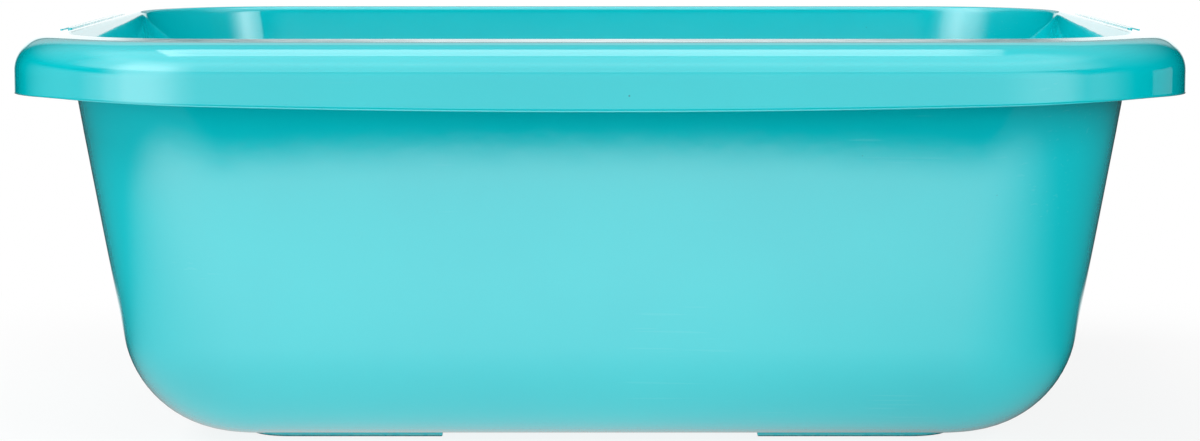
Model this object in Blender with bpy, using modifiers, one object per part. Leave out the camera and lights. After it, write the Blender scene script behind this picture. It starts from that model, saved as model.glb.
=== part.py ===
"""Plastic basin: a rectangular washing-up bowl, injection moulded in polypropylene.

Everything is in metres with +Z up. The origin is on the ground under the middle of the basin, +X runs along
its length and +Y across its width. The moulding is divided where its forms meet: a floor tray with the large
bottom radius, a drafted wall, a rim land with its round shoulder, the skirt that hangs from the shoulder, four
corner feet, four low grip beads on the ends of the land, and the gate nub under the floor.
"""

import math

import bmesh
import bpy
from mathutils import Vector

# Rim, seen from above. The width is taken across the bowed long sides.
RIM_LENGTH = 0.400
RIM_WIDTH = 0.313
RIM_HEIGHT = 0.1417
RIM_BOW = 0.003
RIM_OVERHANG = 0.019
OPENING_CORNER_RADIUS = 0.051

# Rim, in section. The land falls outwards by its slope share. The skirt hangs deepest at the middle of each
# side and least at the corners.
WALL_THICKNESS = 0.0017
CREST_RADIUS = 0.0008
LAND_SLOPE_SHARE = 0.085
SHOULDER_RADIUS = 0.012
SKIRT_DROP = 0.0193
SKIRT_SIDE_SWELL = 0.0031
SKIRT_END_SWELL = 0.0020
SKIRT_EDGE_RADIUS = 0.0005

# Tub under the rim
WALL_DRAFT_SHARE = 0.160
FLOOR_CORNER_RADIUS = 0.045
BOTTOM_RADIUS = 0.040

# Corner feet, bent round the corners of the flat floor
FOOT_HEIGHT = 0.0025
FOOT_WIDTH = 0.004
FOOT_INSET = 0.003
FOOT_CORNER_RADIUS = 0.015
FOOT_SIDE_GAP = 0.110
FOOT_END_GAP = 0.060
FOOT_EDGE_RADIUS = 0.0004

# Grip beads on the ends of the land. Each offset runs from the opening's edge to the middle of the bead.
BEAD_LENGTH = 0.124
INNER_BEAD_OFFSET = 0.0042
INNER_BEAD_WIDTH = 0.0016
INNER_BEAD_HEIGHT = 0.0005
OUTER_BEAD_OFFSET = 0.0071
OUTER_BEAD_WIDTH = 0.0009
OUTER_BEAD_HEIGHT = 0.00025
BEAD_SEAT_GAP = 0.00002

# Gate nub, where the plastic entered the mould
GATE_RADIUS = 0.003
GATE_HEIGHT = 0.0006

# Facets
CORNER_STEPS = 12
SIDE_STEPS = 16
END_STEPS = 10
CREST_STEPS = 2
SHOULDER_STEPS = 8
BOTTOM_STEPS = 9
EDGE_STEPS = 2
BEAD_END_STEPS = 6
GATE_STEPS = 24

# The swell of the skirt fades into the corners over this share of its depth.
SWELL_FADE_SHARE = 0.1
BEAD_CROWN_SHARE = 0.9
CUT_OVERRUN = 0.010
MERGE_DISTANCE = 0.00001
SMOOTH_ANGLE = math.radians(35)

TEAL = (0.018, 0.485, 0.523, 1.0)
TEAL_ROUGHNESS = 0.28

# Sizes worked out from the ones above
RIM_HALF_LENGTH = RIM_LENGTH / 2
RIM_HALF_WIDTH = RIM_WIDTH / 2 - RIM_BOW
RIM_CORNER_RADIUS = OPENING_CORNER_RADIUS + RIM_OVERHANG
OPENING_HALF_LENGTH = RIM_HALF_LENGTH - RIM_OVERHANG
OPENING_HALF_WIDTH = RIM_HALF_WIDTH - RIM_OVERHANG
LAND_SLOPE = math.atan(LAND_SLOPE_SHARE)
LAND_WIDTH = RIM_OVERHANG - CREST_RADIUS - SHOULDER_RADIUS * (1 - math.sin(LAND_SLOPE))
LAND_FALL = LAND_SLOPE_SHARE * LAND_WIDTH
WALL_TOP = RIM_HEIGHT - WALL_THICKNESS
SHOULDER_FOOT = RIM_HEIGHT - LAND_FALL - SHOULDER_RADIUS * math.cos(LAND_SLOPE)
DRAFT_ANGLE = math.atan(WALL_DRAFT_SHARE)
LEVEL_WALL = WALL_THICKNESS / math.cos(DRAFT_ANGLE)
DRAFT_INSET = WALL_DRAFT_SHARE * (RIM_HEIGHT - FOOT_HEIGHT)
TUB_HALF_LENGTH = OPENING_HALF_LENGTH + LEVEL_WALL
TUB_HALF_WIDTH = OPENING_HALF_WIDTH + LEVEL_WALL
FLOOR_HALF_LENGTH = TUB_HALF_LENGTH - DRAFT_INSET
FLOOR_HALF_WIDTH = TUB_HALF_WIDTH - DRAFT_INSET
HALF_BOTTOM_ANGLE = (math.pi / 2 + DRAFT_ANGLE) / 2
BOTTOM_SETBACK = BOTTOM_RADIUS / math.tan(HALF_BOTTOM_ANGLE)
TRAY_HEIGHT = FOOT_HEIGHT + BOTTOM_RADIUS
FOOT_HALF_LENGTH = FLOOR_HALF_LENGTH - BOTTOM_SETBACK - FOOT_INSET
FOOT_HALF_WIDTH = FLOOR_HALF_WIDTH - BOTTOM_SETBACK - FOOT_INSET


def start_afresh():
    """Remove every object of the scene and make the two collections."""
    for old in list(bpy.data.objects):
        bpy.data.objects.remove(old, do_unlink=True)
    for name in ("plastic_basin", "cutters"):
        collection = bpy.data.collections.new(name)
        bpy.context.scene.collection.children.link(collection)


def moulded_teal(part_name):
    """Return the glossy teal polypropylene of one sub-part."""
    material = bpy.data.materials.new(part_name + "_teal")
    material.use_nodes = True
    shader = material.node_tree.nodes["Principled BSDF"]
    shader.inputs["Base Color"].default_value = TEAL
    shader.inputs["Roughness"].default_value = TEAL_ROUGHNESS
    shader.inputs["Metallic"].default_value = 0.0
    material.diffuse_color = TEAL
    return material


def add_part(name, mesh):
    """Put a mesh in the basin's collection as a named sub-part, shaded smooth over its round forms."""
    part = bpy.data.objects.new(name, mesh)
    bpy.data.collections["plastic_basin"].objects.link(part)
    part.data.materials.append(moulded_teal(name))
    part.data.shade_smooth()
    part.data.set_sharp_from_angle(angle=SMOOTH_ANGLE)
    return part


def rounded_outline(half_length, half_width, corner, bow=0.0, side_steps=1, end_steps=1):
    """Return a rounded rectangle, anticlockwise, whose long sides bow outwards by the given height."""
    corners = ((1, 1, 0, side_steps), (-1, 1, 90, end_steps), (-1, -1, 180, side_steps), (1, -1, 270, end_steps))
    arcs = []
    for sign_x, sign_y, start, _ in corners:
        centre = Vector((sign_x * (half_length - corner), sign_y * (half_width - corner), 0.0))
        angles = [math.radians(start + 90 * step / CORNER_STEPS) for step in range(CORNER_STEPS + 1)]
        arcs.append([centre + corner * Vector((math.cos(angle), math.sin(angle), 0.0)) for angle in angles])
    points = []
    for number, (_, _, _, steps) in enumerate(corners):
        points += arcs[number]
        last, first = arcs[number][-1], arcs[(number + 1) % 4][0]
        points += [last.lerp(first, step / steps) for step in range(1, steps)]
    for point in points:
        point.y += math.copysign(bow * (1 - (point.x / half_length) ** 2), point.y)
    return points


def loft(name, sections):
    """Skin closed sections that follow each other right round the basin, the last one joined to the first."""
    form = bmesh.new()
    rows = [[form.verts.new(point) for point in section] for section in sections]
    for row, following in zip(rows, rows[1:] + rows[:1]):
        for number in range(len(row)):
            after = (number + 1) % len(row)
            form.faces.new((row[number], row[after], following[after], following[number]))
    bmesh.ops.recalc_face_normals(form, faces=form.faces)
    mesh = bpy.data.meshes.new(name)
    form.to_mesh(mesh)
    form.free()
    return add_part(name, mesh)


def arc(radius, start, end, steps):
    """Return (outward, upward) places on an arc about its own centre, with angles in degrees."""
    angles = [math.radians(start + (end - start) * step / steps) for step in range(steps + 1)]
    return [(radius * math.cos(angle), radius * math.sin(angle)) for angle in angles]


def rim_stations():
    """Return pairs of the opening's edge and the rim's edge, point for point round the basin."""
    opening = rounded_outline(OPENING_HALF_LENGTH, OPENING_HALF_WIDTH, OPENING_CORNER_RADIUS,
                              side_steps=SIDE_STEPS, end_steps=END_STEPS)
    edge = rounded_outline(RIM_HALF_LENGTH, RIM_HALF_WIDTH, RIM_CORNER_RADIUS, RIM_BOW,
                           side_steps=SIDE_STEPS, end_steps=END_STEPS)
    return list(zip(opening, edge))


def place(base, outward, distance, level):
    """Return the point that lies a distance outwards from a base point, at a level."""
    spot = base + outward * distance
    return Vector((spot.x, spot.y, level))


def rim_land():
    """Land that falls outwards from the crest round the opening, and the large round shoulder outside it."""
    wall_inside = -WALL_DRAFT_SHARE * WALL_THICKNESS
    shoulder_start = 90 - math.degrees(LAND_SLOPE)
    sections = []
    for opening, edge in rim_stations():
        outward = (edge - opening).normalized()
        section = [place(opening, outward, wall_inside, WALL_TOP)]
        for across, up in arc(CREST_RADIUS, 180, 90, CREST_STEPS):
            section.append(place(opening, outward, CREST_RADIUS + across, RIM_HEIGHT - CREST_RADIUS + up))
        for across, up in arc(SHOULDER_RADIUS, shoulder_start, 0, SHOULDER_STEPS):
            section.append(place(edge, outward, across - SHOULDER_RADIUS, SHOULDER_FOOT + up))
        for across, up in arc(SHOULDER_RADIUS - WALL_THICKNESS, 0, shoulder_start, SHOULDER_STEPS):
            section.append(place(edge, outward, across - SHOULDER_RADIUS, SHOULDER_FOOT + up))
        section.append(place(opening, outward, wall_inside + LEVEL_WALL, WALL_TOP))
        sections.append(section)
    return loft("rim_land", sections)


def faded(share):
    """Return a share that can't fall below nothing and reaches nothing without a kink."""
    return (share + math.hypot(share, SWELL_FADE_SHARE)) / 2


def skirt_bottom(edge):
    """Return the level of the skirt's lower edge under a point of the rim's edge."""
    corner_reach = RIM_CORNER_RADIUS * (1 - math.sqrt(0.5))
    along = edge.x / (RIM_HALF_LENGTH - corner_reach)
    across = edge.y / (RIM_HALF_WIDTH - corner_reach)
    swell = SKIRT_SIDE_SWELL * faded(1 - along ** 2) + SKIRT_END_SWELL * faded(1 - across ** 2)
    return RIM_HEIGHT - SKIRT_DROP - swell


def rim_skirt():
    """Skirt that hangs from the shoulder, with a rounded lower edge that swells down between the corners."""
    sections = []
    for opening, edge in rim_stations():
        outward = (edge - opening).normalized()
        bottom = skirt_bottom(edge) + SKIRT_EDGE_RADIUS
        section = [place(edge, outward, -WALL_THICKNESS, SHOULDER_FOOT), place(edge, outward, 0.0, SHOULDER_FOOT)]
        for across, up in arc(SKIRT_EDGE_RADIUS, 0, -90, EDGE_STEPS):
            section.append(place(edge, outward, across - SKIRT_EDGE_RADIUS, bottom + up))
        for across, up in arc(SKIRT_EDGE_RADIUS, -90, -180, EDGE_STEPS):
            section.append(place(edge, outward, across + SKIRT_EDGE_RADIUS - WALL_THICKNESS, bottom + up))
        sections.append(section)
    return loft("rim_skirt", sections)


def mark_for_bevel(form, level):
    """Give full bevel weight to the edges that lie at a level."""
    weight = form.edges.layers.float.new("bevel_weight_edge")
    for edge in form.edges:
        if all(abs(vertex.co.z - level) < MERGE_DISTANCE for vertex in edge.verts):
            edge[weight] = 1.0


def round_marked_edges(part, width, steps, half_angle=math.pi / 4):
    """Round the weighted edges with a Bevel whose middle lies on the true arc between two faces.

    The half angle is half of the angle between the two faces, a right angle by default.
    """
    bevel = part.modifiers.new("rounded_edge", "BEVEL")
    bevel.limit_method = "WEIGHT"
    bevel.width = width
    bevel.segments = steps
    bevel.use_clamp_overlap = False
    middle_share = (1 / math.sin(half_angle) - 1) * math.tan(half_angle) / (2 * math.cos(half_angle))
    bevel.profile = (1 - middle_share) ** 2


def tub_skin():
    """Mesh of the tub's outside, open at the top: the flat floor with the drafted wall drawn up from it."""
    floor = rounded_outline(FLOOR_HALF_LENGTH, FLOOR_HALF_WIDTH, FLOOR_CORNER_RADIUS)
    crest = rounded_outline(TUB_HALF_LENGTH, TUB_HALF_WIDTH, OPENING_CORNER_RADIUS + LEVEL_WALL)
    form = bmesh.new()
    ring = [form.verts.new(place(point, Vector(), 0.0, FOOT_HEIGHT)) for point in floor]
    form.faces.new(ring)
    drawn = bmesh.ops.extrude_edge_only(form, edges=form.edges[:])["geom"]
    risen = [item for item in drawn if isinstance(item, bmesh.types.BMVert)]
    for base, point in zip(ring, crest):
        wall_edge = next(edge for edge in base.link_edges if edge.other_vert(base) in risen)
        wall_edge.other_vert(base).co = place(point, Vector(), 0.0, RIM_HEIGHT)
    bmesh.ops.recalc_face_normals(form, faces=form.faces)
    form.normal_update()
    if next(face for face in form.faces if len(face.verts) == len(ring)).normal.z > 0:
        bmesh.ops.reverse_faces(form, faces=form.faces)
    mark_for_bevel(form, FOOT_HEIGHT)
    mesh = bpy.data.meshes.new("tub_skin")
    form.to_mesh(mesh)
    form.free()
    return mesh


def slab_cutter(name, low, high):
    """Return a slab between two levels, wider than the tub, to keep one band of its shell."""
    bpy.ops.mesh.primitive_cube_add(size=1, location=(0, 0, (low + high) / 2))
    cutter = bpy.context.object
    cutter.name = name
    cutter.scale = (RIM_LENGTH + CUT_OVERRUN, RIM_WIDTH + CUT_OVERRUN, high - low)
    bpy.ops.object.transform_apply(location=False, rotation=False, scale=True)
    cutter.hide_render = True
    cutter.display_type = "WIRE"
    for collection in list(cutter.users_collection):
        collection.objects.unlink(cutter)
    bpy.data.collections["cutters"].objects.link(cutter)
    return cutter


def tub_band(name, low, high):
    """Band of the tub between two levels: the skin with its bottom radius, given a wall and cut level."""
    part = add_part(name, tub_skin())
    round_marked_edges(part, BOTTOM_SETBACK, BOTTOM_STEPS, HALF_BOTTOM_ANGLE)
    wall = part.modifiers.new("wall", "SOLIDIFY")
    wall.thickness = WALL_THICKNESS
    wall.offset = -1
    wall.use_even_offset = True
    cut = part.modifiers.new("level_cuts", "BOOLEAN")
    cut.operation = "INTERSECT"
    cut.object = slab_cutter(name + "_slab", low, high)
    return part


def flat_bar(name, outline, low, height, free_level, edge_radius):
    """Flat outline raised to a height, with its free face rounded at the edge."""
    curve = bpy.data.curves.new(name, "CURVE")
    curve.dimensions = "2D"
    curve.fill_mode = "BOTH"
    curve.extrude = height / 2
    spline = curve.splines.new("POLY")
    spline.points.add(len(outline) - 1)
    for knot, point in zip(spline.points, outline):
        knot.co = (point.x, point.y, 0.0, 1.0)
    spline.use_cyclic_u = True
    guide = bpy.data.objects.new(name + "_outline", curve)
    bpy.data.collections["cutters"].objects.link(guide)
    guide.location.z = low + height / 2
    bpy.context.view_layer.update()
    solid = guide.evaluated_get(bpy.context.evaluated_depsgraph_get())
    mesh = bpy.data.meshes.new_from_object(solid)
    mesh.transform(guide.matrix_world)
    bpy.data.objects.remove(guide, do_unlink=True)
    form = bmesh.new()
    form.from_mesh(mesh)
    bmesh.ops.remove_doubles(form, verts=form.verts, dist=MERGE_DISTANCE)
    bmesh.ops.dissolve_limit(form, angle_limit=math.radians(1), verts=form.verts, edges=form.edges)
    bmesh.ops.recalc_face_normals(form, faces=form.faces)
    mark_for_bevel(form, free_level)
    form.to_mesh(mesh)
    form.free()
    part = add_part(name, mesh)
    round_marked_edges(part, edge_radius, EDGE_STEPS)
    return part


def corner_foot(name, sign_x, sign_y):
    """Foot that follows the long side, the corner and the end of the flat floor."""
    outer = [Vector((FOOT_SIDE_GAP / 2, FOOT_HALF_WIDTH))]
    inner = [Vector((FOOT_SIDE_GAP / 2, FOOT_HALF_WIDTH - FOOT_WIDTH))]
    centre = Vector((FOOT_HALF_LENGTH - FOOT_CORNER_RADIUS, FOOT_HALF_WIDTH - FOOT_CORNER_RADIUS))
    outer += [centre + Vector(spot) for spot in arc(FOOT_CORNER_RADIUS, 90, 0, CORNER_STEPS)]
    inner += [centre + Vector(spot) for spot in arc(FOOT_CORNER_RADIUS - FOOT_WIDTH, 90, 0, CORNER_STEPS)]
    outer.append(Vector((FOOT_HALF_LENGTH, FOOT_END_GAP / 2)))
    inner.append(Vector((FOOT_HALF_LENGTH - FOOT_WIDTH, FOOT_END_GAP / 2)))
    outline = [Vector((sign_x * spot.x, sign_y * spot.y)) for spot in outer + inner[::-1]]
    return flat_bar(name, outline, 0.0, FOOT_HEIGHT, 0.0, FOOT_EDGE_RADIUS)


def grip_bead(name, sign_x, offset, width, height):
    """Low bead along one end of the land, round at both ends and over its crown, and tilted with the land."""
    straight = BEAD_LENGTH / 2 - width / 2
    far_end = [Vector((across, straight + up)) for across, up in arc(width / 2, 0, 180, BEAD_END_STEPS)]
    near_end = [Vector((across, up - straight)) for across, up in arc(width / 2, 180, 360, BEAD_END_STEPS)]
    crown = BEAD_CROWN_SHARE * min(height, width / 2)
    bead = flat_bar(name, far_end + near_end, 0.0, height, height, crown)
    land_level = RIM_HEIGHT - LAND_SLOPE_SHARE * (offset - CREST_RADIUS)
    bead.location = (sign_x * (OPENING_HALF_LENGTH + offset), 0.0, land_level + BEAD_SEAT_GAP)
    bead.rotation_euler.y = sign_x * LAND_SLOPE
    return bead


def gate_nub():
    """Nub under the middle of the floor, left by the mould's gate."""
    bpy.ops.mesh.primitive_cylinder_add(vertices=GATE_STEPS, radius=GATE_RADIUS, depth=GATE_HEIGHT,
                                        location=(0, 0, FOOT_HEIGHT - GATE_HEIGHT / 2))
    turned = bpy.context.object
    mesh = turned.data.copy()
    mesh.transform(turned.matrix_world)
    bpy.data.objects.remove(turned, do_unlink=True)
    return add_part("gate_nub", mesh)


def build_basin():
    """Build every sub-part of the basin."""
    start_afresh()
    tub_band("floor_tray", -CUT_OVERRUN, TRAY_HEIGHT)
    tub_band("side_wall", TRAY_HEIGHT, WALL_TOP)
    rim_land()
    rim_skirt()
    for side, sign_x in (("left", -1), ("right", 1)):
        corner_foot("foot_front_" + side, sign_x, -1)
        corner_foot("foot_rear_" + side, sign_x, 1)
        grip_bead("grip_bead_inner_" + side, sign_x, INNER_BEAD_OFFSET, INNER_BEAD_WIDTH, INNER_BEAD_HEIGHT)
        grip_bead("grip_bead_outer_" + side, sign_x, OUTER_BEAD_OFFSET, OUTER_BEAD_WIDTH, OUTER_BEAD_HEIGHT)
    gate_nub()


build_basin()
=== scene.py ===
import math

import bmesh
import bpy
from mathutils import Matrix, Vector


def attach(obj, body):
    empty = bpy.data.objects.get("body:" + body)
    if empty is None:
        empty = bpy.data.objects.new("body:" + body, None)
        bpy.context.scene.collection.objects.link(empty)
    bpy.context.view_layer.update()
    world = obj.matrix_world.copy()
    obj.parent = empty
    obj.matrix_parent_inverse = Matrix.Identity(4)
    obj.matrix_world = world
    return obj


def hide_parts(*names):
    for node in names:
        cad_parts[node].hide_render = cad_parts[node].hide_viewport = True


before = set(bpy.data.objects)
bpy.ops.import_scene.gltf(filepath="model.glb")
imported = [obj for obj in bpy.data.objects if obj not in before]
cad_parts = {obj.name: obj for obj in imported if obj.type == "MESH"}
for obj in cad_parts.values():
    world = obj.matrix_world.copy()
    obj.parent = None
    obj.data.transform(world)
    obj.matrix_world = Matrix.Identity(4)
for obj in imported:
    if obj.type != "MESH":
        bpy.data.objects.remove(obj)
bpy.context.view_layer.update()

# Looks of the plastic basin: a glossy moulded polypropylene washing-up bowl on a white table.
# Everything is in metres with +Z up, and the camera looks along +Y. The floor, wall, land and skirt get one
# unbroken skin, and the four grip beads get upright sides. The feet and the gate nub are the frame's own.

MM = 0.001

# Rim, seen from above and in section
RIM_LENGTH = 400 * MM
RIM_WIDTH = 313 * MM
RIM_HEIGHT = 141.7 * MM
RIM_BOW = 3 * MM
RIM_OVERHANG = 19 * MM
OPENING_CORNER = 51 * MM
WALL = 1.7 * MM
CREST_RADIUS = 1.6 * MM
LAND_SLOPE_SHARE = 0.085
SHOULDER_RADIUS = 12 * MM
SKIRT_DROP = 19.3 * MM
SKIRT_SIDE_SWELL = 3.1 * MM
SKIRT_END_SWELL = 2 * MM
SKIRT_EDGE_RADIUS = 0.5 * MM
SWELL_FADE_SHARE = 0.1
RIM_ROOT_RADIUS = 1.2 * MM
END_FLARE_SHARE = 0.073
END_FLARE_REACH = 18 * MM

# Tub
WALL_DRAFT_SHARE = 0.160
FLOOR_CORNER = 45 * MM
BOTTOM_RADIUS = 40 * MM
FOOT_HEIGHT = 2.5 * MM

# Grip beads on the ends of the land: way from the opening's edge to the bead's middle, width and height
BEAD_LENGTH = 124 * MM
INNER_BEAD = (4.2 * MM, 1.6 * MM, 0.46 * MM)
OUTER_BEAD = (7.1 * MM, 0.9 * MM, 0.3 * MM)
BEAD_EDGE_RADIUS = 0.08 * MM
BEAD_SUNK = 0.1 * MM

# Rings that keep the shading of a bead's flat top even: just inside its edge, and at a share of its width
BEAD_TOP_INSET = 1.6 * BEAD_EDGE_RADIUS
BEAD_TOP_SHARE = 0.32

# Steps of the skin round one corner, along a long side and along an end, and over each round of the section
CORNER_STEPS = 28
SIDE_STEPS = 26
END_STEPS = 12
BOTTOM_STEPS = 18
CREST_STEPS = 6
SHOULDER_STEPS = 18
EDGE_STEPS = 4
ROOT_STEPS = 5
BEAD_END_STEPS = 12
BEAD_EDGE_STEPS = 4

# Shares of the way at which the skin has points between its rounds
FLOOR_RINGS = (0.97, 0.8, 0.5, 0.2)
WALL_SHARES = (0.015, 0.25, 0.5, 0.65, 0.76, 0.84, 0.9, 0.94, 0.965, 0.985)
LAND_SHARES = (0.04, 0.5, 0.96)
SKIRT_FACE_SHARES = (0.1, 0.5, 0.92)
SKIRT_BACK_SHARES = (0.08, 0.5, 0.9)

# Sizes worked out
RIM_HALF_LENGTH = RIM_LENGTH / 2
RIM_HALF_WIDTH = RIM_WIDTH / 2 - RIM_BOW
OPENING_HALF_LENGTH = RIM_HALF_LENGTH - RIM_OVERHANG
OPENING_HALF_WIDTH = RIM_HALF_WIDTH - RIM_OVERHANG
LAND_SLOPE = math.atan(LAND_SLOPE_SHARE)
LAND_WIDTH = RIM_OVERHANG - CREST_RADIUS - SHOULDER_RADIUS * (1 - math.sin(LAND_SLOPE))
SHOULDER_FOOT = RIM_HEIGHT - LAND_SLOPE_SHARE * LAND_WIDTH - SHOULDER_RADIUS * math.cos(LAND_SLOPE)
LEVEL_WALL = WALL / math.cos(math.atan(WALL_DRAFT_SHARE))
TUB_HEIGHT = RIM_HEIGHT - FOOT_HEIGHT
DRAFT_INSET = WALL_DRAFT_SHARE * TUB_HEIGHT

# Colours of the plastic: its two near teals, its specks, and where it is rubbed pale
TEAL = "#00C0C9"
LIGHTER_TEAL = "#00C3CB"
SPECK_TEAL = "#00707E"
RUBBED_PALE = "#8FE3E4"

# Colours of the table: as the camera sees it, and a darker copy, a painted shade, that the plastic sees and
# is lit by
LAMINATE_WHITE = "#E7E7E7"
LAMINATE_PAINTED_SHADE = "#3F3F3F"

# Gloss of the plastic. Bare polypropylene reflects 4 percent face on. The moulded skin reflects about 11
# percent here, which is what the brightness of its reflections asks for in this light.
POLYPROPYLENE_IOR = 1.49
SKIN_IOR = 1.5
SKIN_ROUGHNESS = 0.045
DULL_ROUGHNESS = 0.06

# Depth of the relief on the plastic
RIPPLE_DEPTH = 0.04 * MM
ORANGE_PEEL_DEPTH = 0.004 * MM
SCRATCH_DEPTH = 0.0015 * MM
FLOW_RING_DEPTH = 0.012 * MM

# Camera: focal length and sensor width in millimetres, its place, and how far it looks down in degrees
CAMERA_LENS = 94.704
CAMERA_SENSOR = 36.0
CAMERA_PLACE = (0.0, -1.1653, 0.1928)
CAMERA_TILT = 6.132

# Levels of the lamps that lie on the table. At one level, one would hide the others.
TABLE_LEFT_LEVEL = 0.0001
TABLE_LIGHT_LEVEL = 0.0002
TABLE_GLARE_LEVEL = 0.0003
TABLE_CLOSE_LEVEL = 0.0004

# What the room adds to matt light from all sides
ROOM_LIGHT = 0.3

# Parts of the room that the gloss shows: brightness, whether the compass angle counts from the front or the
# same to both sides, then (low, high, low fade, high fade) of that angle and of the height above the
# horizon, in degrees. The angle is nothing towards the camera, and the basin's left is negative.
WINDOW_WALL = (1.38, "front", (-48, -38, 22, 33), (-10, 36, 12, 22))
WINDOW = (0.62, "front", (-50, -30, 25, 20), (28, 31, 14, 15))
UPPER_WALL = (0.83, "front", (-70, 45, 30, 45), (27, 42, 5, 18))
CEILING_EDGE = (0.68, "front", (-100, 60, 40, 50), (55, 72, 15, 10))
LEFT_CEILING = (0.14, "front", (-130, -40, 30, 40), (32, 75, 16, 10))
CEILING = (0.40, "front", (-185, 185, 1, 1), (62, 95, 50, 1))
WHITE_BEHIND = (1.10, "both", (160, 185, 6, 1), (-95, 9, 1, 2))
GREY_BEHIND = (0.45, "both", (158, 185, 8, 1), (14, 42, 5, 6))
ROOM = (WINDOW_WALL, WINDOW, UPPER_WALL, CEILING_EDGE, LEFT_CEILING, CEILING, WHITE_BEHIND, GREY_BEHIND)

# A value that nothing reaches, for the open end of a window
OPEN = 5.0

# Sockets of the Mix node, which gives one name to several of them
MIX_FACTOR = 0
MIX_VALUE_A, MIX_VALUE_B, MIX_VALUE_OUT = 2, 3, 0
MIX_COLOUR_A, MIX_COLOUR_B, MIX_COLOUR_OUT = 6, 7, 2


def linear(code):
    """Turn an sRGB hex colour into the linear colour that a shader takes."""
    shares = [int(code[place:place + 2], 16) / 255 for place in (1, 3, 5)]
    return tuple(((s + 0.055) / 1.055) ** 2.4 if s > 0.04045 else s / 12.92 for s in shares) + (1.0,)


def add_node(tree, kind, settings, inputs):
    """Add one node, give it its settings, and fill or link its inputs."""
    item = tree.nodes.new(kind)
    for name, value in settings.items():
        setattr(item, name, value)
    for key, value in inputs.items():
        if isinstance(value, bpy.types.NodeSocket):
            tree.links.new(value, item.inputs[key])
        else:
            item.inputs[key].default_value = value
    return item


def blank_tree(owner):
    """Empty the node tree of a material, world or lamp."""
    owner.use_nodes = True
    owner.node_tree.nodes.clear()
    return owner.node_tree


def add_object(name, data):
    """Add an object with this mesh, lamp or camera to the scene."""
    item = bpy.data.objects.new(name, data)
    bpy.context.scene.collection.objects.link(item)
    return item


# Moulding

def rounded_outline(half_length, half_width, corner, bow=0.0):
    """Return (point, outward direction) pairs round a rounded rectangle, closest near its corners."""
    quarters = (
        (1, 1, 0, SIDE_STEPS),
        (-1, 1, 90, END_STEPS),
        (-1, -1, 180, SIDE_STEPS),
        (1, -1, 270, END_STEPS),
    )
    arcs = []
    for sign_x, sign_y, start, _ in quarters:
        centre = Vector((sign_x * (half_length - corner), sign_y * (half_width - corner), 0.0))
        turns = [math.radians(start + 90 * step / CORNER_STEPS) for step in range(CORNER_STEPS + 1)]
        outwards = [Vector((math.cos(turn), math.sin(turn), 0.0)) for turn in turns]
        arcs.append([(centre + corner * outward, outward) for outward in outwards])
    pairs = []
    for number, (_, _, _, steps) in enumerate(quarters):
        pairs += arcs[number]
        last, first = arcs[number][-1], arcs[(number + 1) % 4][0]
        for step in range(1, steps):
            share = (1 - math.cos(math.pi * step / steps)) / 2
            pairs.append((last[0].lerp(first[0], share), last[1]))
    for point, _ in pairs:
        point.y += math.copysign(bow * (1 - (point.x / half_length) ** 2), point.y)
    return pairs


def arc(centre, radius, start, end, steps):
    """Return (outward, level) places on an arc about a centre, with angles in radians."""
    turns = [start + (end - start) * step / steps for step in range(steps + 1)]
    return [(centre[0] + radius * math.cos(turn), centre[1] + radius * math.sin(turn)) for turn in turns]


def between(first, last, shares):
    """Return places on the straight line from one place or point to another."""
    first, last = Vector(first), Vector(last)
    return [first.lerp(last, share) for share in shares]


def meeting(point_a, normal_a, point_b, normal_b, radius):
    """Return the centre of a round that touches two lines, given by a point and a normal, from behind."""
    a, b = Vector(normal_a), Vector(normal_b)
    reach_a = a.dot(Vector(point_a)) - radius
    reach_b = b.dot(Vector(point_b)) - radius
    spread = a.x * b.y - a.y * b.x
    return Vector(((reach_a * b.y - reach_b * a.y) / spread, (a.x * reach_b - b.x * reach_a) / spread))


def direction(vector):
    """Return the angle of a direction in the section."""
    return math.atan2(vector[1], vector[0])


def faded(share):
    """Return a share that can't fall below nothing and reaches nothing without a kink."""
    return (share + math.hypot(share, SWELL_FADE_SHARE)) / 2


def skirt_bottom(edge):
    """Return the level of the skirt's lower edge under a point of the rim's edge."""
    corner_reach = (OPENING_CORNER + RIM_OVERHANG) * (1 - math.sqrt(0.5))
    along = edge.x / (RIM_HALF_LENGTH - corner_reach)
    across = edge.y / (RIM_HALF_WIDTH - corner_reach)
    swell = SKIRT_SIDE_SWELL * faded(1 - along ** 2) + SKIRT_END_SWELL * faded(1 - across ** 2)
    return RIM_HEIGHT - SKIRT_DROP - swell


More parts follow.
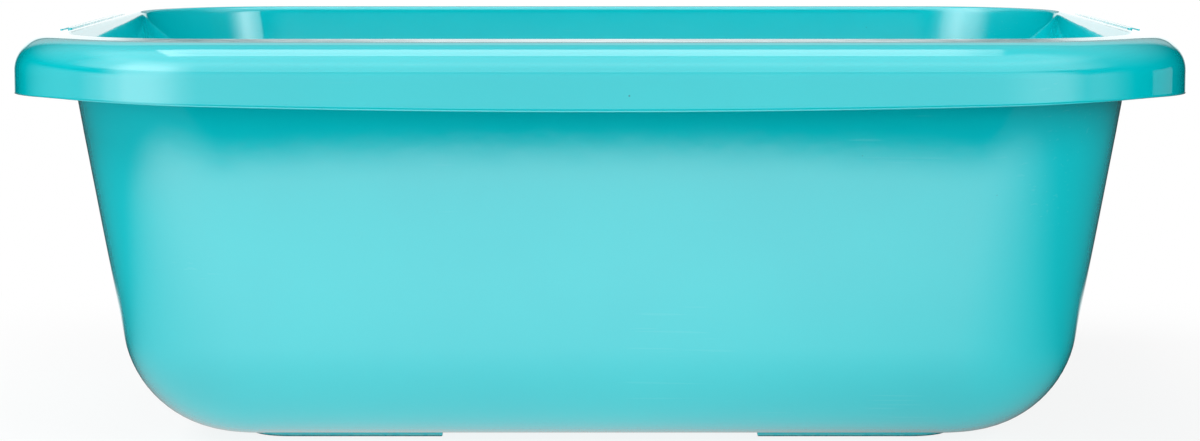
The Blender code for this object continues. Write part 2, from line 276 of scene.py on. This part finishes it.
def rim_section(overhang, bottom, draft):
    """Return the rim's section as (outward, level) places, from inside wall over skirt to tub."""
    wall_in = Vector((-math.cos(draft), math.sin(draft)))
    shoulder = (overhang - SHOULDER_RADIUS, SHOULDER_FOOT)
    start = math.pi / 2 - LAND_SLOPE
    land_end = arc(shoulder, SHOULDER_RADIUS, start, start, 1)[0]
    land = (Vector(land_end) - Vector((CREST_RADIUS, RIM_HEIGHT))).normalized()
    land_up = Vector((-land.y, land.x))
    crest = meeting((0.0, RIM_HEIGHT), wall_in, (CREST_RADIUS, RIM_HEIGHT), land_up, CREST_RADIUS)
    places = arc(crest, CREST_RADIUS, direction(wall_in), direction(land_up), CREST_STEPS)
    places += between(places[-1], land_end, LAND_SHARES)
    places += arc(shoulder, SHOULDER_RADIUS, start, 0.0, SHOULDER_STEPS)
    low = bottom + SKIRT_EDGE_RADIUS
    places += between((overhang, SHOULDER_FOOT), (overhang, low), SKIRT_FACE_SHARES)
    places += arc((overhang - SKIRT_EDGE_RADIUS, low), SKIRT_EDGE_RADIUS, 0.0, -math.pi / 2, EDGE_STEPS)
    inside = overhang - WALL
    places += arc((inside + SKIRT_EDGE_RADIUS, low), SKIRT_EDGE_RADIUS, -math.pi / 2, -math.pi, EDGE_STEPS)
    places += between((inside, low), (inside, SHOULDER_FOOT), SKIRT_BACK_SHARES)
    under = arc(shoulder, SHOULDER_RADIUS - WALL, 0.0, start, SHOULDER_STEPS)
    places += under
    seat = Vector((LEVEL_WALL - math.tan(draft) * WALL, RIM_HEIGHT - WALL))
    ceiling = (seat - Vector(under[-1])).normalized()
    ceiling_up = Vector((ceiling.y, -ceiling.x))
    root = meeting(seat, ceiling_up, seat, wall_in, RIM_ROOT_RADIUS)
    places += arc(root, RIM_ROOT_RADIUS, direction(ceiling_up), direction(wall_in), ROOT_STEPS)
    return places


def flared_wall(low, high, outward):
    """Return the points of the inside wall, which opens a little more just under the rim at the ends."""
    points = []
    for point in between(low, high, WALL_SHARES):
        depth = (high - point).length
        inset = END_FLARE_SHARE * abs(outward.x) * depth * math.exp(-(depth / END_FLARE_REACH) ** 2)
        points.append(point - outward * inset)
    return points


def tub_point(base, outward, sideways, spot):
    """Return the point of the tub at an (outward, level) place measured from the floor's outline."""
    level = Vector((0, 0, FOOT_HEIGHT + spot[1]))
    return base + outward * spot[0] + sideways * (spot[1] / TUB_HEIGHT) + level


def basin_sections():
    """Return the sections of the moulding round the basin, each from the inside floor to the underside."""
    opening = rounded_outline(OPENING_HALF_LENGTH, OPENING_HALF_WIDTH, OPENING_CORNER)
    edge = rounded_outline(RIM_HALF_LENGTH, RIM_HALF_WIDTH, OPENING_CORNER + RIM_OVERHANG, RIM_BOW)
    tub_length, tub_width = OPENING_HALF_LENGTH + LEVEL_WALL, OPENING_HALF_WIDTH + LEVEL_WALL
    crest = rounded_outline(tub_length, tub_width, OPENING_CORNER + LEVEL_WALL)
    floor = rounded_outline(tub_length - DRAFT_INSET, tub_width - DRAFT_INSET, FLOOR_CORNER)
    sections = []
    for (hole, _), (lip, _), (top, outward), (base, _) in zip(opening, edge, crest, floor):
        rise = top - base
        draft = math.atan(rise.dot(outward) / TUB_HEIGHT)
        sideways = rise - outward * rise.dot(outward)
        centre = (-BOTTOM_RADIUS / math.tan((math.pi / 2 + draft) / 2), BOTTOM_RADIUS)
        inner_round = arc(centre, BOTTOM_RADIUS - WALL, -math.pi / 2, -draft, BOTTOM_STEPS)
        outer_round = arc(centre, BOTTOM_RADIUS, -draft, -math.pi / 2, BOTTOM_STEPS)
        inside = [tub_point(base, outward, sideways, spot) for spot in inner_round]
        outside = [tub_point(base, outward, sideways, spot) for spot in outer_round]
        away = (lip - hole).normalized()
        rim = [hole + away * spot[0] + Vector((0, 0, spot[1]))
               for spot in rim_section((lip - hole).length, skirt_bottom(lip), draft)]
        section = inside + flared_wall(inside[-1], rim[0], outward) + rim
        section += between(rim[-1], outside[0], WALL_SHARES) + outside
        sections.append(section)
    return sections


def finished_mesh(form, name):
    """Turn a closed form into a smooth mesh whose faces look outwards."""
    bmesh.ops.recalc_face_normals(form, faces=form.faces)
    mesh = bpy.data.meshes.new(name)
    form.to_mesh(mesh)
    form.free()
    mesh.shade_smooth()
    return mesh


def close_floor(form, ring):
    """Close a flat ring of points with rings that shrink towards the middle of the floor."""
    outline = [vertex.co.copy() for vertex in ring]
    for share in FLOOR_RINGS:
        inner = [form.verts.new((point.x * share, point.y * share, point.z)) for point in outline]
        for first, second, near, far in zip(ring, ring[1:] + ring[:1], inner, inner[1:] + inner[:1]):
            form.faces.new((first, second, far, near))
        ring = inner
    middle = form.verts.new((0.0, 0.0, outline[0].z))
    for first, second in zip(ring, ring[1:] + ring[:1]):
        form.faces.new((first, second, middle))


def moulding():
    """Skin the sections into one closed moulding, and close the floor on both faces."""
    form = bmesh.new()
    rows = [[form.verts.new(point) for point in section] for section in basin_sections()]
    for row, following in zip(rows, rows[1:] + rows[:1]):
        for lower, upper, far_upper, far_lower in zip(row, row[1:], following[1:], following):
            form.faces.new((lower, upper, far_upper, far_lower))
    close_floor(form, [row[0] for row in rows])
    close_floor(form, [row[-1] for row in rows])
    return finished_mesh(form, "basin_moulding")


def bead(name, sign_x, offset, width, height):
    """Build a grip bead with upright sides and round ends, sunk a little into the land."""
    edge_level = height - BEAD_EDGE_RADIUS
    edge = arc((0.0, 0.0), BEAD_EDGE_RADIUS, 0.0, math.pi / 2, BEAD_EDGE_STEPS)
    profile = [(0.0, -BEAD_SUNK), (0.0, 0.0), (0.0, edge_level)]
    profile += [(BEAD_EDGE_RADIUS - out, edge_level + up) for out, up in edge[1:]]
    profile += [(BEAD_TOP_INSET, height), (BEAD_TOP_SHARE * width, height)]
    end = BEAD_LENGTH / 2 - width / 2
    form = bmesh.new()
    rings = []
    for inset, level in profile:
        ring = []
        for middle, start in ((end, 0.0), (-end, math.pi)):
            end_round = arc((0.0, middle), width / 2 - inset, start, start + math.pi, BEAD_END_STEPS)
            ring += [form.verts.new((across, along, level)) for across, along in end_round]
        rings.append(ring)
    for lower, upper in zip(rings, rings[1:]):
        for first, second, near, far in zip(lower, lower[1:] + lower[:1], upper, upper[1:] + upper[:1]):
            form.faces.new((first, second, far, near))
    form.faces.new(rings[-1])
    form.faces.new(rings[0][::-1])
    piece = add_object(name, finished_mesh(form, name))
    land_level = RIM_HEIGHT - LAND_SLOPE_SHARE * (offset - CREST_RADIUS)
    piece.location = (sign_x * (OPENING_HALF_LENGTH + offset), 0.0, land_level)
    return piece


# Materials

def overlap(tree, *shares):
    """Return the share that several shares leave where they overlap."""
    level = shares[0]
    for share in shares[1:]:
        level = add_node(tree, "ShaderNodeMath", {"operation": "MULTIPLY"}, {0: level, 1: share}).outputs[0]
    return level


def window(tree, value, low=-OPEN, high=OPEN, low_fade=1.0, high_fade=1.0):
    """Return a share that is one between two values and falls to nothing within a fade outside each.

    An end that is left out stays open.
    """
    rise = add_node(tree, "ShaderNodeMapRange", {"interpolation_type": "SMOOTHSTEP"}, {
        "Value": value, "From Min": low - low_fade, "From Max": low})
    fall = add_node(tree, "ShaderNodeMapRange", {"interpolation_type": "SMOOTHSTEP"}, {
        "Value": value, "From Min": high, "From Max": high + high_fade, "To Min": 1.0, "To Max": 0.0})
    return overlap(tree, rise.outputs[0], fall.outputs[0])


def patches(tree, place, size, detail, threshold, edge):
    """Return one in scattered patches of about this size, nothing between them, and a soft edge to each."""
    noise = add_node(tree, "ShaderNodeTexNoise", {}, {"Vector": place, "Scale": 1 / size, "Detail": detail})
    mask = add_node(tree, "ShaderNodeMapRange", {"interpolation_type": "SMOOTHSTEP"}, {
        "Value": noise.outputs["Fac"], "From Min": threshold, "From Max": threshold + edge})
    return mask.outputs[0]


def reach_sum(tree, distances, roundness):
    """Return a sum of distances raised to a power: two gives a circle, more gives squarer corners."""
    total = 0.0
    for distance in distances:
        size = add_node(tree, "ShaderNodeMath", {"operation": "ABSOLUTE"}, {0: distance})
        raised = add_node(tree, "ShaderNodeMath", {"operation": "POWER"}, {
            0: size.outputs[0], 1: roundness})
        total = add_node(tree, "ShaderNodeMath", {"operation": "ADD"}, {
            0: raised.outputs[0], 1: total}).outputs[0]
    return total


def pigment_specks(tree, place):
    """Dark specks about half a millimetre across, so rare that a patch as large as a hand has about one."""
    spacing = 11 * MM
    # Radii at which a speck is full and at which it is gone, as shares of the spacing
    full, gone = 0.018, 0.034
    # Only a place whose random number is above this has a speck
    chosen_above = 0.8
    cells = add_node(tree, "ShaderNodeTexVoronoi", {"feature": "F1"}, {
        "Vector": place, "Scale": 1 / spacing})
    chance = add_node(tree, "ShaderNodeSeparateColor", {}, {"Color": cells.outputs["Color"]})
    dot = add_node(tree, "ShaderNodeMapRange", {}, {
        "Value": cells.outputs["Distance"], "From Min": full, "From Max": gone,
        "To Min": 1.0, "To Max": 0.0})
    rare = add_node(tree, "ShaderNodeMath", {"operation": "GREATER_THAN"}, {
        0: chance.outputs[0], 1: chosen_above})
    return overlap(tree, dot.outputs[0], rare.outputs[0])


def hair_scratches(tree, place, turn, rubbed_above):
    """Scratches about 40 mm long and a third of a millimetre wide, in the few places that were rubbed.

    Real ones are finer still. They are drawn this coarse so that they show.
    """
    length, spacing = 40 * MM, 1.1 * MM
    drawn = add_node(tree, "ShaderNodeMapping", {}, {
        "Vector": place, "Rotation": turn, "Scale": (1 / length, 1 / spacing, 1 / spacing)})
    lines = patches(tree, drawn.outputs[0], size=1.0, detail=0.0, threshold=0.74, edge=0.05)
    rubbed = patches(tree, place, size=45 * MM, detail=1.0, threshold=rubbed_above, edge=0.08)
    return overlap(tree, lines, rubbed)


def flow_rings(tree, spot):
    """Rings that the melt leaves round the gate, 7 mm apart, on the underside alone."""
    pitch = 7 * MM
    square = reach_sum(tree, (spot.outputs["X"], spot.outputs["Y"]), 2.0)
    reach = add_node(tree, "ShaderNodeMath", {"operation": "SQRT"}, {0: square}).outputs[0]
    turn = add_node(tree, "ShaderNodeMath", {"operation": "MULTIPLY"}, {0: reach, 1: 2 * math.pi / pitch})
    wave = add_node(tree, "ShaderNodeMath", {"operation": "SINE"}, {0: turn.outputs[0]})
    around_gate = window(tree, reach, high=8 * MM, high_fade=55 * MM)
    under_floor = window(tree, spot.outputs["Z"], high=FOOT_HEIGHT + 0.3 * MM, high_fade=0.3 * MM)
    return overlap(tree, wave.outputs[0], around_gate, under_floor)


def moulded_polypropylene():
    """Glossy injection-moulded polypropylene.

    Its skin copies a polished mould, so it shows sharp reflections over a soft sheen. The mould's faint
    ripple and orange peel bend them a little. Haze, hair scratches, scuffs and worn soles break them up.
    """
    material = bpy.data.materials.new("moulded_polypropylene")
    tree = blank_tree(material)
    place = add_node(tree, "ShaderNodeTexCoord", {}, {}).outputs["Object"]
    spot = add_node(tree, "ShaderNodeSeparateXYZ", {}, {0: place})

    # Wear
    along = hair_scratches(tree, place, turn=(0.0, 0.06, 0.04), rubbed_above=0.58)
    aslant = hair_scratches(tree, place, turn=(0.5, 0.9, 0.7), rubbed_above=0.6)
    scratches = add_node(tree, "ShaderNodeMath", {"operation": "MAXIMUM"}, {0: along, 1: aslant}).outputs[0]
    scuffs = overlap(tree, patches(tree, place, size=4 * MM, detail=3.0, threshold=0.62, edge=0.1),
                     patches(tree, place, size=60 * MM, detail=0.0, threshold=0.6, edge=0.05))
    soles = window(tree, spot.outputs["Z"], high=0.35 * MM, high_fade=0.7 * MM)
    worn = overlap(tree, soles, patches(tree, place, size=3 * MM, detail=4.0, threshold=0.36, edge=0.2))
    rim_top = window(tree, spot.outputs["Z"], low=RIM_HEIGHT - 6 * MM, low_fade=6 * MM)
    rubbed_rim = overlap(tree, rim_top,
                         patches(tree, place, size=9 * MM, detail=4.0, threshold=0.5, edge=0.2))

    # Colour: two teals that drift into each other over 60 mm, specks, and the pale look of rubbed plastic
    drift = patches(tree, place, size=60 * MM, detail=3.0, threshold=0.3, edge=0.4)
    colour = add_node(tree, "ShaderNodeMix", {"data_type": "RGBA"}, {
        MIX_FACTOR: drift, MIX_COLOUR_A: linear(TEAL), MIX_COLOUR_B: linear(LIGHTER_TEAL)})
    marks = (
        (pigment_specks(tree, place), SPECK_TEAL),
        (overlap(tree, scratches, 0.05), RUBBED_PALE),
        (overlap(tree, worn, 0.35), RUBBED_PALE),
    )
    for share, stain in marks:
        colour = add_node(tree, "ShaderNodeMix", {"data_type": "RGBA"}, {
            MIX_FACTOR: share, MIX_COLOUR_A: colour.outputs[MIX_COLOUR_OUT], MIX_COLOUR_B: linear(stain)})

    # Gloss: haze that varies over 25 mm, and what each kind of rubbing adds to the roughness
    cloud = add_node(tree, "ShaderNodeTexNoise", {}, {
        "Vector": place, "Scale": 1 / (25 * MM), "Detail": 4.0})
    haze = add_node(tree, "ShaderNodeMapRange", {}, {
        "Value": cloud.outputs["Fac"], "From Min": 0.3, "From Max": 0.7,
        "To Min": SKIN_ROUGHNESS, "To Max": DULL_ROUGHNESS})
    gloss = haze.outputs[0]
    for mark, added in ((rubbed_rim, 0.02), (scratches, 0.05), (scuffs, 0.025), (worn, 0.3)):
        gloss = add_node(tree, "ShaderNodeMath", {"operation": "MULTIPLY_ADD"}, {
            0: mark, 1: added, 2: gloss}).outputs[0]

    # Relief: mould ripple about 18 mm from crest to crest, orange peel of 2.5 mm, scratches and flow rings
    waves = add_node(tree, "ShaderNodeTexNoise", {}, {
        "Vector": place, "Scale": 1 / (18 * MM), "Detail": 2.0})
    grain = add_node(tree, "ShaderNodeTexNoise", {}, {
        "Vector": place, "Scale": 1 / (2.5 * MM), "Detail": 1.0})
    ripple = add_node(tree, "ShaderNodeBump", {}, {
        "Height": waves.outputs["Fac"], "Distance": RIPPLE_DEPTH, "Strength": 1.0})
    peel = add_node(tree, "ShaderNodeBump", {}, {
        "Height": grain.outputs["Fac"], "Distance": ORANGE_PEEL_DEPTH, "Strength": 1.0,
        "Normal": ripple.outputs[0]})
    cut = add_node(tree, "ShaderNodeBump", {"invert": True}, {
        "Height": scratches, "Distance": SCRATCH_DEPTH, "Strength": 1.0, "Normal": peel.outputs[0]})
    relief = add_node(tree, "ShaderNodeBump", {}, {
        "Height": flow_rings(tree, spot), "Distance": FLOW_RING_DEPTH, "Strength": 1.0,
        "Normal": cut.outputs[0]})
    shader = add_node(tree, "ShaderNodeBsdfPrincipled", {}, {
        "Base Color": colour.outputs[MIX_COLOUR_OUT], "Roughness": gloss, "IOR": POLYPROPYLENE_IOR,
        "Specular IOR Level": 1.0, "Coat Weight": 1.0, "Coat Roughness": SKIN_ROUGHNESS,
        "Coat IOR": SKIN_IOR, "Normal": relief.outputs[0], "Coat Normal": relief.outputs[0]})
    add_node(tree, "ShaderNodeOutputMaterial", {}, {"Surface": shader.outputs[0]})
    return material


# Studio

def area_lamp(name, centre, towards, size, brightness, diffuse=True, gloss=True, spread=180):
    """Add a bare rectangular lamp that shines towards a point, and return its light.

    At the full spread, its brightness is what a mirror would show of it. A narrower one makes it brighter.
    """
    light = bpy.data.lights.new(name, "AREA")
    light.shape = "RECTANGLE"
    light.size, light.size_y = size
    light.energy = brightness * math.pi * size[0] * size[1]
    light.spread = math.radians(spread)
    holder = add_object(name, light)
    holder.location = centre
    holder.rotation_euler = (Vector(towards) - Vector(centre)).to_track_quat("-Z", "Y").to_euler()
    holder.visible_diffuse = diffuse
    holder.visible_glossy = gloss
    return light


def soft_box(name, centre, towards, size, brightness, fades, **reach):
    """Add a lamp that fades over shares of its width and height: at its left, right, lower and upper sides.

    Its reach says which rays see it and how wide its light spreads, in the words of the bare lamp.
    """
    tree = blank_tree(area_lamp(name, centre, towards, size, brightness, **reach))
    spot = add_node(tree, "ShaderNodeSeparateXYZ", {}, {
        0: add_node(tree, "ShaderNodeNewGeometry", {}, {}).outputs["Parametric"]})
    left, right, lower, upper = fades
    across = window(tree, spot.outputs["X"], left, 1 - right, left, right)
    upwards = window(tree, spot.outputs["Y"], lower, 1 - upper, lower, upper)
    shine = add_node(tree, "ShaderNodeEmission", {}, {"Strength": overlap(tree, across, upwards)})
    add_node(tree, "ShaderNodeOutputLight", {}, {"Surface": shine.outputs[0]})


def add_table_glare():
    """Light that the gloss sees on the white table: a rounded patch in front, fading into the shadow."""
    middle_x, middle_y = 0.0, -0.15
    length, depth = 0.88, 0.49
    patch_half_length, patch_half_depth, roundness = 0.42, 0.374, 2.6
    patch_edge, patch_fade, right_fade = 0.83, 0.37, 0.65
    shadow_edge, shadow_fade, shadow_bend, shadow_slant = -0.27, 0.33, 0.9, 0.15
    light = area_lamp("table_glare", (middle_x, middle_y, TABLE_GLARE_LEVEL),
                      towards=(middle_x, middle_y, 1.0), size=(length, depth),
                      brightness=1.26, diffuse=False)
    tree = blank_tree(light)
    spot = add_node(tree, "ShaderNodeSeparateXYZ", {}, {
        0: add_node(tree, "ShaderNodeNewGeometry", {}, {}).outputs["Parametric"]})
    # Across the table, to the basin's right, and towards its rear, in metres
    across_table = add_node(tree, "ShaderNodeMapRange", {}, {
        "Value": spot.outputs["X"], "To Min": middle_x + length / 2, "To Max": middle_x - length / 2})
    down_table = add_node(tree, "ShaderNodeMapRange", {}, {
        "Value": spot.outputs["Y"], "To Min": middle_y - depth / 2, "To Max": middle_y + depth / 2})
    along, back = across_table.outputs[0], down_table.outputs[0]
    wide = add_node(tree, "ShaderNodeMath", {"operation": "DIVIDE"}, {0: along, 1: patch_half_length})
    deep = add_node(tree, "ShaderNodeMath", {"operation": "DIVIDE"}, {0: back, 1: patch_half_depth})
    reach = reach_sum(tree, (wide.outputs[0], deep.outputs[0]), roundness)
    rounded = window(tree, reach, high=patch_edge, high_fade=patch_fade)
    towards_left = window(tree, along, high=0.0, high_fade=right_fade)
    # The shadow's edge comes forward towards the ends and the right
    square = overlap(tree, along, along)
    bend = add_node(tree, "ShaderNodeMath", {"operation": "MULTIPLY_ADD"}, {
        0: square, 1: shadow_bend, 2: back}).outputs[0]
    slant = add_node(tree, "ShaderNodeMath", {"operation": "MULTIPLY_ADD"}, {
        0: along, 1: shadow_slant, 2: bend}).outputs[0]
    lit = window(tree, slant, high=shadow_edge, high_fade=shadow_fade)
    level = overlap(tree, rounded, towards_left, lit)
    shine = add_node(tree, "ShaderNodeEmission", {}, {"Strength": level})
    add_node(tree, "ShaderNodeOutputLight", {}, {"Surface": shine.outputs[0]})


def add_camera():
    """Stand the camera where the photograph was taken from."""
    camera = bpy.data.cameras.new("camera")
    camera.sensor_width = CAMERA_SENSOR
    camera.lens = CAMERA_LENS
    holder = add_object("camera", camera)
    holder.location = CAMERA_PLACE
    holder.rotation_euler = (math.radians(90 - CAMERA_TILT), 0.0, 0.0)
    bpy.context.scene.camera = holder


def matt_white_laminate():
    """Matt white laminate, which takes the basin's shadow softly and has no shine of its own.

    The camera sees plain white from about 130 mm away from the basin, so that no horizon shows, and a share
    of the shadow nearer by. For the gloss, the open table right behind the basin glows white, a painted
    reflection. Elsewhere every ray but the camera's meets a darker copy of the laminate, a painted shade.
    """
    shadow_share = 0.14
    material = bpy.data.materials.new("matt_white_laminate")
    tree = blank_tree(material)
    ray = add_node(tree, "ShaderNodeLightPath", {}, {})
    place = add_node(tree, "ShaderNodeSeparateXYZ", {}, {
        0: add_node(tree, "ShaderNodeTexCoord", {}, {}).outputs["Object"]})
    near = overlap(
        tree,
        window(tree, place.outputs["X"], low=-0.2, high=0.2, low_fade=0.12, high_fade=0.12),
        window(tree, place.outputs["Y"], low=-0.15, high=0.15, low_fade=0.15, high_fade=0.15))
    whitened = add_node(tree, "ShaderNodeMath", {"operation": "MULTIPLY_ADD"}, {
        0: near, 1: -shadow_share, 2: 1.0})
    matt = add_node(tree, "ShaderNodeBsdfDiffuse", {}, {"Color": linear(LAMINATE_WHITE)})
    # Painted shade: a darker copy of the laminate, met by every ray but the camera's
    painted_shade_copy = add_node(tree, "ShaderNodeBsdfDiffuse", {}, {"Color": linear(LAMINATE_PAINTED_SHADE)})
    white = add_node(tree, "ShaderNodeEmission", {}, {"Strength": 1.0})
    shown = add_node(tree, "ShaderNodeMixShader", {}, {
        0: whitened.outputs[0], 1: matt.outputs[0], 2: white.outputs[0]})
    # Painted reflection: for glossy rays the open table right behind the basin glows white
    behind = overlap(
        tree,
        window(tree, place.outputs["Y"], low=0.16, low_fade=0.08),
        window(tree, place.outputs["X"], low=-0.25, high=0.25, low_fade=0.06, high_fade=0.06),
        ray.outputs["Is Glossy Ray"])
    painted_glow_and_shade = add_node(tree, "ShaderNodeMixShader", {}, {0: behind, 1: painted_shade_copy.outputs[0], 2: white.outputs[0]})
    mix = add_node(tree, "ShaderNodeMixShader", {}, {
        0: ray.outputs["Is Camera Ray"], 1: painted_glow_and_shade.outputs[0], 2: shown.outputs[0]})
    add_node(tree, "ShaderNodeOutputMaterial", {}, {"Surface": mix.outputs[0]})
    return material


def add_table():
    """White table top, just under the feet."""
    left, right, front, back = -0.9, 0.9, -0.38, 1.2
    level = -0.0001
    corners = [(left, front, level), (right, front, level), (right, back, level), (left, back, level)]
    mesh = bpy.data.meshes.new("table")
    mesh.from_pydata(corners, [], [(0, 1, 2, 3)])
    table = add_object("table", mesh)
    table.data.materials.append(matt_white_laminate())


def add_surround():
    """White surround for the camera. The gloss sees the parts of the room, by compass angle and height."""
    world = bpy.data.worlds.new("surround")
    bpy.context.scene.world = world
    tree = blank_tree(world)
    ray = add_node(tree, "ShaderNodeLightPath", {}, {})
    way = add_node(tree, "ShaderNodeSeparateXYZ", {}, {
        0: add_node(tree, "ShaderNodeTexCoord", {}, {}).outputs["Generated"]})
    forwards = add_node(tree, "ShaderNodeMath", {"operation": "MULTIPLY"}, {0: way.outputs["Y"], 1: -1.0})
    turn = add_node(tree, "ShaderNodeMath", {"operation": "ARCTAN2"}, {
        0: way.outputs["X"], 1: forwards.outputs[0]})
    bearing = add_node(tree, "ShaderNodeMath", {"operation": "DEGREES"}, {0: turn.outputs[0]}).outputs[0]
    rise = add_node(tree, "ShaderNodeMath", {"operation": "ARCSINE"}, {0: way.outputs["Z"]})
    height = add_node(tree, "ShaderNodeMath", {"operation": "DEGREES"}, {0: rise.outputs[0]}).outputs[0]
    either_side = add_node(tree, "ShaderNodeMath", {"operation": "ABSOLUTE"}, {0: bearing}).outputs[0]
    room = 0.0
    for brightness, counted, angles, heights in ROOM:
        turned = either_side if counted == "both" else bearing
        share = overlap(tree, window(tree, turned, *angles), window(tree, height, *heights))
        room = add_node(tree, "ShaderNodeMath", {"operation": "MULTIPLY_ADD"}, {
            0: share, 1: brightness, 2: room}).outputs[0]
    lighting = add_node(tree, "ShaderNodeMix", {"data_type": "FLOAT"}, {
        MIX_FACTOR: ray.outputs["Is Glossy Ray"], MIX_VALUE_A: ROOM_LIGHT, MIX_VALUE_B: room})
    strength = add_node(tree, "ShaderNodeMix", {"data_type": "FLOAT"}, {
        MIX_FACTOR: ray.outputs["Is Camera Ray"], MIX_VALUE_A: lighting.outputs[MIX_VALUE_OUT],
        MIX_VALUE_B: 1.0})
    background = add_node(tree, "ShaderNodeBackground", {}, {
        "Color": linear("#FFFFFF"), "Strength": strength.outputs[MIX_VALUE_OUT]})
    add_node(tree, "ShaderNodeOutputWorld", {}, {"Surface": background.outputs[0]})


def add_lamps():
    """Soft boxes and cards of a product studio."""
    # Seen by the gloss and lighting the plastic
    soft_box("overhead", (-0.088, -0.094, 1.14), towards=(-0.088, -0.094, 0.0), size=(0.8, 0.54),
             brightness=1.7, fades=(0.04, 0.1, 0.05, 0.05))
    # Cards close to the basin, seen by the gloss alone. The camera looks through the backs of those that
    # stand in front.
    soft_box("near_front", (0.0, -0.52, 0.2075), towards=(0.0, 0.0, 0.2075), size=(1.5, 0.315),
             brightness=0.75, fades=(0.127, 0.127, 0.1, 0.48), diffuse=False)
    soft_box("near_corner", (0.4, -0.53, 0.1925), towards=(0.4, 0.0, 0.1925), size=(0.5, 0.285),
             brightness=0.38, fades=(0.4, 0.4, 0.1, 0.25), diffuse=False)
    soft_box("near_left", (-0.57, -0.125, 0.15), towards=(0.0, -0.125, 0.15), size=(0.75, 0.2),
             brightness=0.42, fades=(0.6, 0.15, 0.1, 0.3), diffuse=False)
    soft_box("near_right", (0.57, -0.32, 0.15), towards=(0.0, -0.32, 0.15), size=(0.4, 0.2),
             brightness=0.48, fades=(0.35, 0.6, 0.1, 0.3), diffuse=False)
    soft_box("left_corner", (-0.56, -0.33, 0.15), towards=(0.0, -0.33, 0.15), size=(0.26, 0.2),
             brightness=0.4, fades=(0.4, 0.3, 0.1, 0.3), diffuse=False)
    soft_box("side_card", (0.445, 0.01, 0.13), towards=(0.0, 0.01, 0.13), size=(0.14, 0.066),
             brightness=0.2, fades=(0.03, 0.03, 0.03, 0.03), diffuse=False)
    # Narrow strips over the opening that give the inner corners their streaks
    soft_box("strip_left", (0.044, -0.141, 0.256), towards=(-0.135, 0.13, 0.135), size=(0.21, 0.065),
             brightness=0.16, fades=(0.06, 0.7, 0.15, 0.15), diffuse=False, spread=44)
    soft_box("strip_right", (-0.044, -0.141, 0.256), towards=(0.135, 0.13, 0.135), size=(0.21, 0.065),
             brightness=0.053, fades=(0.5, 0.15, 0.15, 0.15), diffuse=False, spread=44)
    # Soft light for the plastic's own colour
    soft_box("key", (-0.98, -1.13, 0.65), towards=(0.0, 0.0, 0.65), size=(1.9, 1.9),
             brightness=1.6, fades=(0.5, 0.5, 0.1, 0.5), gloss=False)
    soft_box("left_fill", (-1.2, -0.2, 1.2), towards=(0.0, 0.0, 0.1), size=(1.2, 0.9),
             brightness=7.3, fades=(0.2, 0.2, 0.2, 0.2), gloss=False)
    soft_box("right_fill", (1.1, -0.9, 0.6), towards=(0.0, 0.0, 0.1), size=(0.9, 0.9),
             brightness=5.7, fades=(0.1, 0.1, 0.1, 0.1), gloss=False)
    soft_box("low_fill", (0.0, -1.2, 0.225), towards=(0.0, 0.0, 0.225), size=(3.6, 0.45),
             brightness=0.90, fades=(0.15, 0.15, 0.25, 0.05), gloss=False)
    soft_box("back_fill", (0.0, 1.3, 0.7), towards=(0.0, 0.0, 0.1), size=(1.4, 0.9),
             brightness=1.2, fades=(0.2, 0.2, 0.2, 0.2), gloss=False)
    # Light that the white table throws back
    soft_box("table_light", (0.01, -0.145, TABLE_LIGHT_LEVEL), towards=(0.01, -0.145, 1.0),
             size=(0.88, 0.49), brightness=1.18, fades=(0.51, 0.23, 0.06, 0.75), gloss=False)
    soft_box("table_close", (0.0, -0.095, TABLE_CLOSE_LEVEL), towards=(0.0, -0.095, 1.0),
             size=(0.56, 0.07), brightness=0.3, fades=(0.12, 0.15, 0.2, 0.2), gloss=False)
    soft_box("table_left", (-0.4, 0.0, TABLE_LEFT_LEVEL), towards=(-0.4, 0.0, 1.0), size=(0.36, 0.7),
             brightness=1.5, fades=(0.3, 0.3, 0.3, 0.3), gloss=False)
    add_table_glare()


def dress_basin():
    """Put the moulding and the beads over their nodes and give every carried-over node the same plastic."""
    plastic = moulded_polypropylene()
    basin = add_object("basin_moulding", moulding())
    basin.data.materials.append(plastic)
    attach(basin, "root")
    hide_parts("floor_tray", "side_wall", "rim_land", "rim_skirt")
    for side, sign_x in (("left", -1), ("right", 1)):
        for row, sizes in (("inner", INNER_BEAD), ("outer", OUTER_BEAD)):
            name = "grip_bead_%s_%s" % (row, side)
            piece = bead("steep_" + name, sign_x, *sizes)
            piece.data.materials.append(plastic)
            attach(piece, "root")
            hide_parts(name)
    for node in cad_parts.values():
        for place in range(len(node.material_slots)):
            node.material_slots[place].material = plastic


bpy.context.scene.view_settings.view_transform = "Standard"
add_camera()
add_surround()
add_table()
add_lamps()
dress_basin()
